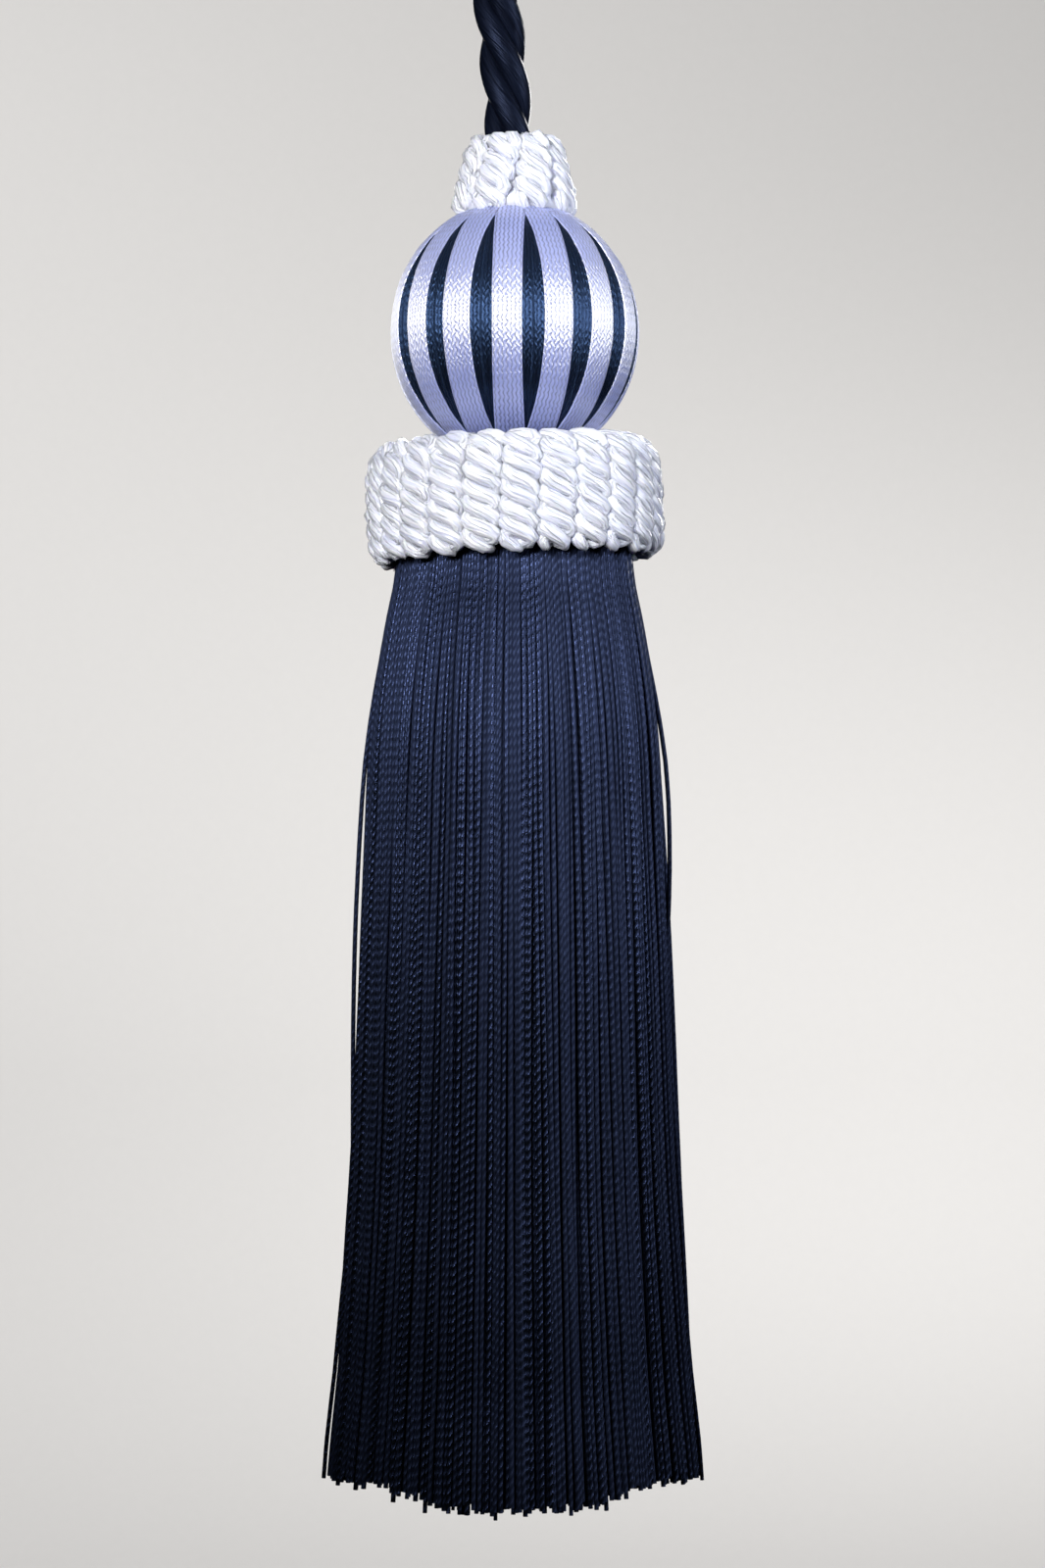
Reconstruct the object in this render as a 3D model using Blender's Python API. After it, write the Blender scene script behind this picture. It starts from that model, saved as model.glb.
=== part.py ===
"""Key tassel: twisted hanging cord with a bound loop, striped ball, two white cord ruffs, navy skirt.

Metres, +Z up. The origin is the point inside the top of the hanging loop, where the tassel bears on
what holds it. The tassel hangs straight down from there, and its front looks along -Y.
"""
import math
import random

import bmesh
import bpy
from mathutils import Vector
from mathutils.geometry import delaunay_2d_cdt

MM = 0.001
GAP = 0.3 * MM
SEED = 11

# Colours (linear) and roughness
NAVY_CORD = (0.012, 0.018, 0.050, 1.0)
NAVY_SATIN = (0.015, 0.028, 0.085, 1.0)
NAVY_YARN = (0.010, 0.020, 0.058, 1.0)
WHITE_FLOSS = (0.80, 0.80, 0.87, 1.0)
WHITE_SATIN = (0.74, 0.75, 0.88, 1.0)

# Ball, a turned mould covered in navy satin, with white ribbons let in over it
BALL_Z = -122.4 * MM
BALL_RADIUS = 20.1 * MM
BALL_HALF_HEIGHT = 21.2 * MM
RIBBONS = 15
RIBBON_WIDTH = 4.76 * MM
RIBBON_FIRST = math.radians(-93.3)
RIBBON_PROUD = 0.3 * MM
RIBBON_EDGE_DROP = 0.12 * MM
RIBBON_THICKNESS = 1.0 * MM
CHANNEL_DEPTH = 1.0 * MM
RIB_LEAST = 0.45 * MM
CHANNEL_LOW_RADIUS = 10.8 * MM
CHANNEL_HIGH_RADIUS = 8.3 * MM
RIBBON_ROWS = 10
BALL_TOP_FLAT = 5.0 * MM
BALL_BOTTOM_FLAT = 3.4 * MM

# Ruffs, cord wound round a ring: rows of radius, height, how deep the valley between two turns is,
# and how far the leaves of the cord's twist stand out, all in millimetres
NECK_TURNS = 8
NECK_VALLEY = math.radians(-90.0 - 7.0)
NECK_SLANT = math.radians(17.0)
NECK_ROWS = (
    ("radius", "height", "valley", "leaf"),
    (7.4, -101.9, 0.0, 0.0),
    (9.2, -103.1, 0.5, 0.0),
    (9.9, -102.4, 0.9, 0.25),
    (9.8, -100.9, 0.9, 0.25),
    (9.6, -99.5, 0.9, 0.25),
    (9.4, -98.1, 0.9, 0.25),
    (9.2, -96.7, 0.9, 0.25),
    (9.0, -95.3, 0.9, 0.25),
    (8.7, -93.9, 0.9, 0.25),
    (8.2, -92.4, 1.0, 0.2),
    (7.3, -91.0, 1.1, 0.2),
    (6.2, -90.6, 1.1, 0.0),
    (5.5, -91.6, 0.6, 0.0),
    (5.2, -93.6, 0.0, 0.0),
    (5.2, -101.0, 0.0, 0.0),
)
BAND_TURNS = 24
BAND_VALLEY = math.radians(-90.0 - 7.2)
BAND_SLANT = math.radians(3.5)
BAND_TILT = math.radians(-2.0)
BAND_CENTRE_Z = -149.8 * MM
BAND_ROWS = (
    ("radius", "height", "valley", "leaf"),
    (20.2, -158.6, 0.0, 0.0),
    (21.2, -159.6, 0.8, 0.0),
    (23.0, -158.8, 1.0, 0.2),
    (23.8, -157.2, 1.1, 0.3),
    (23.9, -155.8, 1.1, 0.3),
    (24.0, -154.4, 1.1, 0.3),
    (24.0, -153.0, 1.1, 0.3),
    (24.0, -151.6, 1.1, 0.3),
    (24.0, -150.2, 1.1, 0.3),
    (23.9, -148.8, 1.1, 0.3),
    (23.8, -147.4, 1.1, 0.3),
    (23.7, -146.0, 1.1, 0.3),
    (23.5, -144.6, 1.1, 0.3),
    (23.1, -143.2, 1.2, 0.3),
    (22.3, -141.5, 1.3, 0.2),
    (20.6, -140.1, 1.4, 0.0),
    (17.6, -140.3, 1.0, 0.0),
    (14.2, -140.7, 0.4, 0.0),
    (12.6, -141.9, 0.0, 0.0),
    (13.4, -144.2, 0.0, 0.0),
    (20.2, -147.4, 0.0, 0.0),
)
STEPS_PER_TURN = 4
ROWS_PER_LEAF = 3

# Skirt, cut yarns hanging from a backing that is hidden inside the band
SKIRT_STATIONS = (
    ("radius", "height", "fill"),
    (18.9, -158.2, 0.62),
    (23.8, -187.0, 0.66),
    (26.7, -250.0, 0.70),
    (30.2, -308.0, 0.72),
)
SKIRT_RINGS = (
    ("strands", "share_of_radius"),
    (110, 1.0),
    (60, 0.80),
    (30, 0.52),
)
STRAND_DEPTH = 0.8
SWAY = 0.05
HEM_UNEVEN = 0.8 * MM
LONG_STRAND_SHARE = 0.05
LONG_STRAND_EXTRA = 1.2 * MM
RADIAL_UNEVEN = 0.012
HEAD_ROWS = (
    ("radius", "height"),
    (19.1, -158.2),
    (19.1, -150.4),
    (17.4, -149.0),
    (7.5, -144.4),
)
HEAD_SIDES = 48

# Hanging cord: its centre line in the X-Z plane, from the ball to the cut end beside the standing leg
CORD_RADIUS = 4.0 * MM
CORD_VALLEY_RADIUS = 2.9 * MM
CORD_LAY = 30.0 * MM
CORD_START_ANGLE = math.radians(-18.0)
CORD_SIDES = 12
CORD_STEP = 2.9 * MM
CORD_ROUTE = (
    (-0.2, -102.4),
    (-0.4, -97.0),
    (-0.8, -91.0),
    (-1.3, -84.0),
    (-2.0, -76.0),
    (-2.8, -68.5),
    (-3.5, -62.0),
    (-3.9, -56.0),
    (-4.0, -50.0),
    (-4.6, -44.8),
    (-6.2, -39.9),
    (-8.6, -34.7),
    (-12.0, -27.4),
    (-15.4, -20.2),
    (-17.0, -13.0),
    (-14.7, -4.5),
    (-8.5, 1.7),
    (0.0, 4.0),
    (8.5, 1.7),
    (14.7, -4.5),
    (17.0, -13.0),
    (15.4, -20.2),
    (12.0, -27.4),
    (8.6, -34.7),
    (6.7, -38.8),
    (5.1, -43.7),
    (4.5, -48.9),
    (4.5, -56.5),
    (4.5, -64.6),
)

# Thread binding that holds the loop's two legs together
BINDING_TOP = -48.8 * MM
BINDING_BOTTOM = -62.6 * MM
BINDING_CENTRE_X = 0.35 * MM
BINDING_HALF_SPAN = 4.35 * MM
BINDING_INNER = 4.45 * MM
BINDING_OUTER = 5.5 * MM
BINDING_RIDGE = 0.25 * MM
BINDING_TURNS = 6
BINDING_ARC_STEPS = 8


def clear_scene():
    """Remove every object, so that the script starts from nothing."""
    for obj in list(bpy.data.objects):
        bpy.data.objects.remove(obj, do_unlink=True)


def make_material(name, colour, roughness):
    """A Principled material of one colour."""
    material = bpy.data.materials.new(name)
    material.use_nodes = True
    shader = material.node_tree.nodes["Principled BSDF"]
    shader.inputs["Base Color"].default_value = colour
    shader.inputs["Roughness"].default_value = roughness
    shader.inputs["Metallic"].default_value = 0.0
    return material


def add_object(name, points, faces, material, sharp_angle=40.0):
    """Make one closed, smooth-shaded object out of points and faces."""
    mesh = bpy.data.meshes.new(name)
    mesh.from_pydata([tuple(point) for point in points], [], faces)
    mesh.validate()
    shape = bmesh.new()
    shape.from_mesh(mesh)
    bmesh.ops.recalc_face_normals(shape, faces=shape.faces)
    bmesh.ops.triangulate(shape, faces=[face for face in shape.faces if len(face.verts) > 3])
    shape.to_mesh(mesh)
    shape.free()
    mesh.shade_smooth()
    mesh.set_sharp_from_angle(angle=math.radians(sharp_angle))
    mesh.materials.append(material)
    obj = bpy.data.objects.new(name, mesh)
    bpy.context.scene.collection.objects.link(obj)
    return obj


def polar(radius, angle, height):
    """A point from its distance to the axis, its angle about it and its height."""
    return Vector((radius * math.cos(angle), radius * math.sin(angle), height))


def loft_faces(rows, columns, closed_rows=False):
    """Quads between rings of points; with closed_rows the last ring joins the first."""
    faces = []
    spans = rows if closed_rows else rows - 1
    for row in range(spans):
        below = row * columns
        above = ((row + 1) % rows) * columns
        for column in range(columns):
            after = (column + 1) % columns
            faces.append((below + column, below + after, above + after, above + column))
    return faces


def ball_row(latitude, inset):
    """Radius and height of the ball's surface at a latitude, set in by a depth."""
    radius = (BALL_RADIUS - inset) * math.cos(latitude)
    height = BALL_Z + (BALL_HALF_HEIGHT - inset) * math.sin(latitude)
    return radius, height


def ball_latitude(radius):
    """The latitude at which the ball has a given radius."""
    return math.acos(radius / BALL_RADIUS)


def ribbon_latitudes():
    """Latitudes of the ribbons' rows, from the band up to the neck ruff."""
    low = -ball_latitude(CHANNEL_LOW_RADIUS)
    high = ball_latitude(CHANNEL_HIGH_RADIUS)
    return [low + (high - low) * step / (RIBBON_ROWS - 1) for step in range(RIBBON_ROWS)]


def channel_half_angle(radius):
    """Half the angle of a ribbon's channel, narrowed where the ribbons crowd together."""
    crowded = math.pi * radius / RIBBONS - RIB_LEAST / 2
    return min(RIBBON_WIDTH / 2 + GAP, crowded) / radius


def build_ball(material):
    """The navy ball, with one shallow channel for each white ribbon."""
    latitudes = ribbon_latitudes()
    step = latitudes[1] - latitudes[0]
    top = ball_latitude(BALL_TOP_FLAT)
    bottom = -ball_latitude(BALL_BOTTOM_FLAT)
    bare_above = [latitudes[-1] + step * 0.1, top]
    bare_below = [bottom, latitudes[0] - step * 0.45, latitudes[0] - step * 0.1]
    points = []
    for latitude in bare_below + latitudes + bare_above:
        bare = latitude < latitudes[0] or latitude > latitudes[-1]
        inset = CHANNEL_DEPTH if bare else 0.0
        radius, height = ball_row(latitude, inset)
        floor_radius, floor_height = ball_row(latitude, CHANNEL_DEPTH)
        half = channel_half_angle(radius)
        for ribbon in range(RIBBONS):
            middle = RIBBON_FIRST + math.tau * ribbon / RIBBONS
            points.append(polar(radius, middle - half, height))
            points.append(polar(floor_radius, middle - half * 0.995, floor_height))
            points.append(polar(floor_radius, middle + half * 0.995, floor_height))
            points.append(polar(radius, middle + half, height))
    columns = RIBBONS * 4
    rows = len(points) // columns
    faces = loft_faces(rows, columns)
    faces.append(tuple(range(columns)))
    faces.append(tuple(range((rows - 1) * columns, rows * columns)))
    return add_object("ball", points, faces, material)


def build_ribbon(index, material):
    """One white satin ribbon, laid in its channel from ruff to ruff."""
    middle = RIBBON_FIRST + math.tau * index / RIBBONS
    latitudes = ribbon_latitudes()
    points = []
    for latitude in latitudes:
        half = channel_half_angle(ball_row(latitude, 0.0)[0])
        half -= GAP / ball_row(latitude, CHANNEL_DEPTH)[0]
        under_radius, under_height = ball_row(latitude, RIBBON_THICKNESS - RIBBON_PROUD)
        edge_radius, edge_height = ball_row(latitude, RIBBON_EDGE_DROP - RIBBON_PROUD)
        crown_radius, crown_height = ball_row(latitude, -RIBBON_PROUD)
        points.append(polar(under_radius, middle - half, under_height))
        points.append(polar(edge_radius, middle - half, edge_height))
        points.append(polar(crown_radius, middle, crown_height))
        points.append(polar(edge_radius, middle + half, edge_height))
        points.append(polar(under_radius, middle + half, under_height))
    faces = loft_faces(len(latitudes), 5)
    faces.append((0, 1, 2, 3, 4))
    faces.append(tuple(range(len(points) - 5, len(points))))
    return add_object(f"ribbon_{index + 1:02d}", points, faces, material)


def row_normals(profile):
    """Outward normals of a closed profile of (radius, height) points."""
    normals = []
    for index in range(len(profile)):
        before = Vector(profile[index - 1])
        after = Vector(profile[(index + 1) % len(profile)])
        along = (after - before).normalized()
        normals.append(Vector((along.y, -along.x)))
    return normals


def build_ruff(name, rows, turns, valley_angle, slant, centre_z, tilt, material):
    """A ring wound with twisted cord: a lobe for each turn, with the leaves of its twist across it."""
    table = [dict(zip(rows[0], row)) for row in rows[1:]]
    profile = [(row["radius"] * MM, row["height"] * MM) for row in table]
    normals = row_normals(profile)
    heights = [height for _, height in profile]
    low = min(heights)
    span = max(heights) - low
    columns = turns * STEPS_PER_TURN
    points = []
    for number, (row, (radius, height), normal) in enumerate(zip(table, profile, normals)):
        lean = slant * (height - low) / span
        for column in range(columns):
            share = (column % STEPS_PER_TURN) / STEPS_PER_TURN
            dip = row["valley"] * (1.0 - math.sin(math.pi * share)) ** 1.5
            leaf = row["leaf"] * math.cos(math.tau * (number / ROWS_PER_LEAF + share))
            out = (leaf - dip) * MM
            angle = valley_angle + lean + math.tau * column / columns
            place = polar(radius + normal.x * out, angle, height - centre_z + normal.y * out)
            points.append(place)
    faces = loft_faces(len(table), columns, closed_rows=True)
    ruff = add_object(name, points, faces, material, sharp_angle=75.0)
    ruff.location = (0.0, 0.0, centre_z)
    ruff.rotation_euler = (0.0, tilt, 0.0)
    return ruff


def strand_ring(radius, fill, count, turn, stretch):
    """Corner sets of one ring's strands: three corners each, the ridge facing out."""
    width = math.tau * radius * fill / count
    width = min(width, 2.2 * MM)
    corners = []
    for index in range(count):
        middle = math.tau * index / count + turn[index]
        out = radius * stretch[index]
        inner = out - width * STRAND_DEPTH
        half = width / 2 / inner
        corners.append((
            (out, middle),
            (inner, middle + half),
            (inner, middle - half),
        ))
    return corners


def skirt_strands():
    """Every strand as a list of four triangles, from its root down to its cut end."""
    chance = random.Random(SEED)
    stations = [dict(zip(SKIRT_STATIONS[0], row)) for row in SKIRT_STATIONS[1:]]
    strands = []
    for count, share in SKIRT_RINGS[1:]:
        sway = [chance.uniform(-SWAY, SWAY) * math.tau / count for _ in range(count)]
        spread = [1.0 + chance.uniform(-RADIAL_UNEVEN, RADIAL_UNEVEN) for _ in range(count)]
        ends = [chance.uniform(-HEM_UNEVEN, HEM_UNEVEN) for _ in range(count)]
        for index in range(count):
            if chance.random() < LONG_STRAND_SHARE:
                ends[index] -= LONG_STRAND_EXTRA
        first = len(strands)
        strands.extend([] for _ in range(count))
        for level, station in enumerate(stations):
            follow = level / (len(stations) - 1)
            turn = [value * follow for value in sway]
            stretch = [1.0 + (value - 1.0) * follow for value in spread]
            radius = station["radius"] * MM * share
            ring = strand_ring(radius, station["fill"], count, turn, stretch)
            for index, corners in enumerate(ring):
                height = station["height"] * MM
                if level == len(stations) - 1:
                    height += ends[index]
                strands[first + index].append([polar(out, angle, height) for out, angle in corners])
    return strands


def build_skirt(material):
    """The backing disc with every strand of the skirt growing out of its underside."""
    rows = [dict(zip(HEAD_ROWS[0], row)) for row in HEAD_ROWS[1:]]
    strands = skirt_strands()
    rim = [polar(rows[0]["radius"] * MM, math.tau * side / HEAD_SIDES, 0.0) for side in range(HEAD_SIDES)]
    outline = [Vector((point.x, point.y)) / MM for point in rim]
    outlines = [list(range(HEAD_SIDES))]
    for strand in strands:
        start = len(outline)
        outline.extend(Vector((corner.x, corner.y)) / MM for corner in strand[0])
        outlines.append([start, start + 1, start + 2])
    flat = delaunay_2d_cdt(outline, [], outlines, 1, 1e-6, True)
    flat_points, _, flat_faces, _, _, face_sources = flat
    underside = rows[0]["height"] * MM
    points = [Vector((point.x * MM, point.y * MM, underside)) for point in flat_points]
    faces = [
        tuple(face) for face, sources in zip(flat_faces, face_sources) if sources == [0]
    ]

    for row in rows[1:]:
        first = len(points)
        for side in range(HEAD_SIDES):
            angle = math.tau * side / HEAD_SIDES
            points.append(polar(row["radius"] * MM, angle, row["height"] * MM))
        previous = 0 if row is rows[1] else first - HEAD_SIDES
        for side in range(HEAD_SIDES):
            after = (side + 1) % HEAD_SIDES
            faces.append((previous + side, previous + after, first + after, first + side))
    faces.append(tuple(range(len(points) - HEAD_SIDES, len(points))))

    for number, strand in enumerate(strands):
        upper = outlines[number + 1]
        for level in strand[1:]:
            lower = list(range(len(points), len(points) + 3))
            points.extend(level)
            for corner in range(3):
                after = (corner + 1) % 3
                faces.append((upper[corner], upper[after], lower[after], lower[corner]))
            upper = lower
        faces.append(tuple(upper))
    return add_object("skirt", points, faces, material, sharp_angle=30.0)


def smooth_route(route, step):
    """Points at even steps along a smooth curve through a route's own points."""
    knots = [Vector((x * MM, 0.0, z * MM)) for x, z in route]
    knots = [knots[0] * 2 - knots[1]] + knots + [knots[-1] * 2 - knots[-2]]
    fine = []
    for index in range(1, len(knots) - 2):
        before, start, end, after = knots[index - 1:index + 3]
        for part in range(12):
            t = part / 12
            fine.append(0.5 * (
                2 * start
                + (end - before) * t
                + (2 * before - 5 * start + 4 * end - after) * t * t
                + (3 * start - before - 3 * end + after) * t ** 3
            ))
    fine.append(knots[-2])
    travelled = [0.0]
    for start, end in zip(fine, fine[1:]):
        travelled.append(travelled[-1] + (end - start).length)
    count = round(travelled[-1] / step)
    even = []
    piece = 0
    for index in range(count + 1):
        wanted = travelled[-1] * index / count
        while piece < len(fine) - 2 and travelled[piece + 1] < wanted:
            piece += 1
        share = (wanted - travelled[piece]) / (travelled[piece + 1] - travelled[piece])
        even.append(fine[piece].lerp(fine[piece + 1], share))
    return even, travelled[-1]


def build_cord(material):
    """The three-ply hanging cord, its section turning to the left along the route."""
    route, length = smooth_route(CORD_ROUTE, CORD_STEP)
    across = Vector((0.0, 1.0, 0.0))
    points = []
    for index, centre in enumerate(route):
        before = route[max(index - 1, 0)]
        after = route[min(index + 1, len(route) - 1)]
        along = (after - before).normalized()
        side = across.cross(along)
        turned = CORD_START_ANGLE - math.tau * length * index / (len(route) - 1) / CORD_LAY
        for corner in range(CORD_SIDES):
            angle = math.tau * corner / CORD_SIDES
            crest = 0.5 + 0.5 * math.cos(3 * angle)
            radius = CORD_VALLEY_RADIUS + (CORD_RADIUS - CORD_VALLEY_RADIUS) * crest ** 0.6
            direction = side * math.cos(angle + turned) + across * math.sin(angle + turned)
            points.append(centre + direction * radius)
    faces = loft_faces(len(route), CORD_SIDES)
    faces.append(tuple(range(CORD_SIDES)))
    faces.append(tuple(range(len(points) - CORD_SIDES, len(points))))
    return add_object("cord", points, faces, material, sharp_angle=60.0)


def binding_ring(reach, height):
    """An oval ring about the cord's two legs, at one distance from their centre lines."""
    ring = []
    for side in (1, -1):
        for step in range(BINDING_ARC_STEPS):
            angle = side * math.pi / 2 - side * math.pi * step / (BINDING_ARC_STEPS - 1)
            if side < 0:
                angle = -math.pi / 2 - math.pi * step / (BINDING_ARC_STEPS - 1)
            x = BINDING_CENTRE_X + side * BINDING_HALF_SPAN + reach * math.cos(angle)
            ring.append(Vector((x, reach * math.sin(angle), height)))
    return ring


def build_binding(material):
    """The thread binding, a sleeve ridged by its turns."""
    pitch = (BINDING_TOP - BINDING_BOTTOM) / BINDING_TURNS
    points = []
    levels = 2 * BINDING_TURNS + 1
    for level in range(levels):
        reach = BINDING_OUTER + (BINDING_RIDGE if level % 2 else -BINDING_RIDGE)
        points.extend(binding_ring(reach, BINDING_BOTTOM + pitch * level / 2))
    points.extend(binding_ring(BINDING_INNER, BINDING_TOP))
    points.extend(binding_ring(BINDING_INNER, BINDING_BOTTOM))
    faces = loft_faces(levels + 2, 2 * BINDING_ARC_STEPS, closed_rows=True)
    return add_object("loop_binding", points, faces, material)


def main():
    """Build the tassel from its cord down to its skirt."""
    clear_scene()
    navy_cord = make_material("navy_cord", NAVY_CORD, 0.35)
    navy_satin = make_material("navy_satin", NAVY_SATIN, 0.35)
    build_cord(navy_cord)
    build_binding(make_material("binding_thread", NAVY_CORD, 0.5))
    build_ruff("neck_ruff", NECK_ROWS, NECK_TURNS, NECK_VALLEY, NECK_SLANT, BALL_Z, 0.0,
               make_material("neck_floss", WHITE_FLOSS, 0.5))
    build_ball(navy_satin)
    ribbon_satin = make_material("ribbon_satin", WHITE_SATIN, 0.35)
    for index in range(RIBBONS):
        build_ribbon(index, ribbon_satin)
    build_ruff("band_ruff", BAND_ROWS, BAND_TURNS, BAND_VALLEY, BAND_SLANT, BAND_CENTRE_Z, BAND_TILT,
               make_material("band_floss", WHITE_FLOSS, 0.5))
    build_skirt(make_material("navy_yarn", NAVY_YARN, 0.5))


main()
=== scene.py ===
"""Dresses the key tassel: twisted cord, wound ruffs, ribboned ball and a skirt of fine yarn.

Lengths are metres in the row's frame unless a name ends in _mm, angles are radians, and +Z is up.
"""
import logging
import math
import random
from dataclasses import dataclass, field
from enum import Enum
from typing import Callable, Dict, List, Optional, Sequence, Tuple, Union

import bpy
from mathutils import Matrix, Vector


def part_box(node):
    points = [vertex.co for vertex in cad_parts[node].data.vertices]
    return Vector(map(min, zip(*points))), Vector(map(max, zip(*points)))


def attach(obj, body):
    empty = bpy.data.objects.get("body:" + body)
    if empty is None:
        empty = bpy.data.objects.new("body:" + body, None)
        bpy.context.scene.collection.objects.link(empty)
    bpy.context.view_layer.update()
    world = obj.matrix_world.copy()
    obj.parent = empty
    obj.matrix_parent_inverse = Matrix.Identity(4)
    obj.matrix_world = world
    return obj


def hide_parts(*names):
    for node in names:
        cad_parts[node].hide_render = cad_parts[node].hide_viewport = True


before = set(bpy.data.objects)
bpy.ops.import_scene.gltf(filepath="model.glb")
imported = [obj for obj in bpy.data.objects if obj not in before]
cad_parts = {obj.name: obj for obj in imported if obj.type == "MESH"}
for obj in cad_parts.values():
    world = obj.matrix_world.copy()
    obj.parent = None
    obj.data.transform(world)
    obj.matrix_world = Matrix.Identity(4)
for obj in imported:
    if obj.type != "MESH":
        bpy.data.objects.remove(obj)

logging.basicConfig(level=logging.INFO, format="%(message)s")
LOG = logging.getLogger("tassel")

MM = 0.001
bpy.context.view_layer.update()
EYE_HEIGHT = -0.196

Colour = Tuple[float, float, float]
Socket = Union["Wire", bpy.types.NodeSocket, float, int, bool, str, Sequence[float], None]


class Wire:
    """An output socket that can be used in sums."""

    def __init__(self, graph: "Graph", socket: bpy.types.NodeSocket) -> None:
        """Hold the socket and the graph that it belongs to."""
        self.graph = graph
        self.socket = socket

    def __add__(self, other: Socket) -> "Wire":
        """Sum."""
        return self.graph.maths("ADD", self, other)

    __radd__ = __add__

    def __sub__(self, other: Socket) -> "Wire":
        """Difference."""
        return self.graph.maths("SUBTRACT", self, other)

    def __rsub__(self, other: Socket) -> "Wire":
        """Difference, the other way round."""
        return self.graph.maths("SUBTRACT", other, self)

    def __mul__(self, other: Socket) -> "Wire":
        """Product."""
        return self.graph.maths("MULTIPLY", self, other)

    __rmul__ = __mul__

    def __truediv__(self, other: Socket) -> "Wire":
        """Quotient."""
        return self.graph.maths("DIVIDE", self, other)

    def __rtruediv__(self, other: Socket) -> "Wire":
        """Quotient, the other way round."""
        return self.graph.maths("DIVIDE", other, self)

    def __pow__(self, other: Socket) -> "Wire":
        """Power."""
        return self.graph.maths("POWER", self, other)

    def sine(self) -> "Wire":
        """Sine of an angle."""
        return self.graph.maths("SINE", self)

    def cosine(self) -> "Wire":
        """Cosine of an angle."""
        return self.graph.maths("COSINE", self)

    def absolute(self) -> "Wire":
        """Size without sign."""
        return self.graph.maths("ABSOLUTE", self)

    def floor(self) -> "Wire":
        """Whole number below."""
        return self.graph.maths("FLOOR", self)

    def stretch(self, low: float, high: float) -> "Wire":
        """Bring low to 0 and high to 1, and hold what lies beyond.

        Args:
            low: The value that becomes 0.
            high: The value that becomes 1.

        Returns:
            The stretched and held value.
        """
        share = (self - low) / (high - low)
        return self.graph.out(self.graph.node(
            "ShaderNodeMath", {"operation": "ADD", "use_clamp": True}, {0: share, 1: 0.0}))


class Graph:
    """Adds nodes to one node tree, for a material or for Geometry Nodes."""

    def __init__(self, tree: bpy.types.NodeTree) -> None:
        """Hold the tree."""
        self.tree = tree

    def node(
        self, kind: str, settings: Optional[Dict[str, object]] = None,
        inputs: Optional[Dict[Union[int, str], Socket]] = None,
    ) -> bpy.types.Node:
        """Add one node.

        Args:
            kind: The node's type.
            settings: Properties of the node, set before its sockets.
            inputs: Values or links for its sockets, by name or number.

        Returns:
            The new node.
        """
        node = self.tree.nodes.new(kind)
        for name, value in (settings or {}).items():
            setattr(node, name, value)
        for key, value in (inputs or {}).items():
            self.feed(node.inputs[key], value)
        return node

    def feed(self, socket: bpy.types.NodeSocket, value: Socket) -> None:
        """Link or set one input socket."""
        if isinstance(value, Wire):
            self.tree.links.new(value.socket, socket)
        else:
            socket.default_value = value

    def out(self, node: bpy.types.Node, key: Union[int, str] = 0) -> Wire:
        """One output of a node, ready for sums."""
        return Wire(self, node.outputs[key])

    def maths(self, operation: str, *values: Socket) -> Wire:
        """Add a Math node for plain numbers."""
        return self.out(self.node("ShaderNodeMath", {"operation": operation}, dict(enumerate(values))))

    def vectors(self, operation: str, *values: Socket) -> Wire:
        """Add a Vector Math node."""
        return self.out(self.node("ShaderNodeVectorMath", {"operation": operation}, dict(enumerate(values))))

    def scaled(self, vector: Socket, amount: Socket) -> Wire:
        """A vector times a number."""
        return self.out(self.node(
            "ShaderNodeVectorMath", {"operation": "SCALE"}, {"Vector": vector, "Scale": amount}))

    def combined(self, x: Socket, y: Socket, z: Socket) -> Wire:
        """A vector of three numbers."""
        return self.out(self.node("ShaderNodeCombineXYZ", None, {0: x, 1: y, 2: z}))

    def parts(self, vector: Wire) -> Tuple[Wire, Wire, Wire]:
        """The three numbers of a vector."""
        node = self.node("ShaderNodeSeparateXYZ", None, {0: vector})
        return self.out(node, 0), self.out(node, 1), self.out(node, 2)

    def noise(self, vector: Socket, detail: float = 2.0, roughness: float = 0.5, scale: float = 1.0) -> Wire:
        """Noise between 0 and 1.

        Args:
            vector: Where it is read.
            detail: How many finer layers are added.
            roughness: How strong the finer layers are.
            scale: How small the noise is.

        Returns:
            The noise's value.
        """
        return self.out(self.node("ShaderNodeTexNoise", None, {
            "Vector": vector, "Scale": scale, "Detail": detail, "Roughness": roughness}))

    def blend(self, factor: Socket, first: Socket, second: Socket) -> Wire:
        """Mix two colours.

        Args:
            factor: 0 gives the first colour and 1 the second.
            first: A colour or a link.
            second: A colour or a link.

        Returns:
            The mixed colour.
        """
        node = self.node("ShaderNodeMix", {"data_type": "RGBA"}, {0: factor})
        for key, colour in ((6, first), (7, second)):
            self.feed(node.inputs[key], colour if isinstance(colour, Wire) else (*colour, 1.0))
        return self.out(node, 2)


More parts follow.
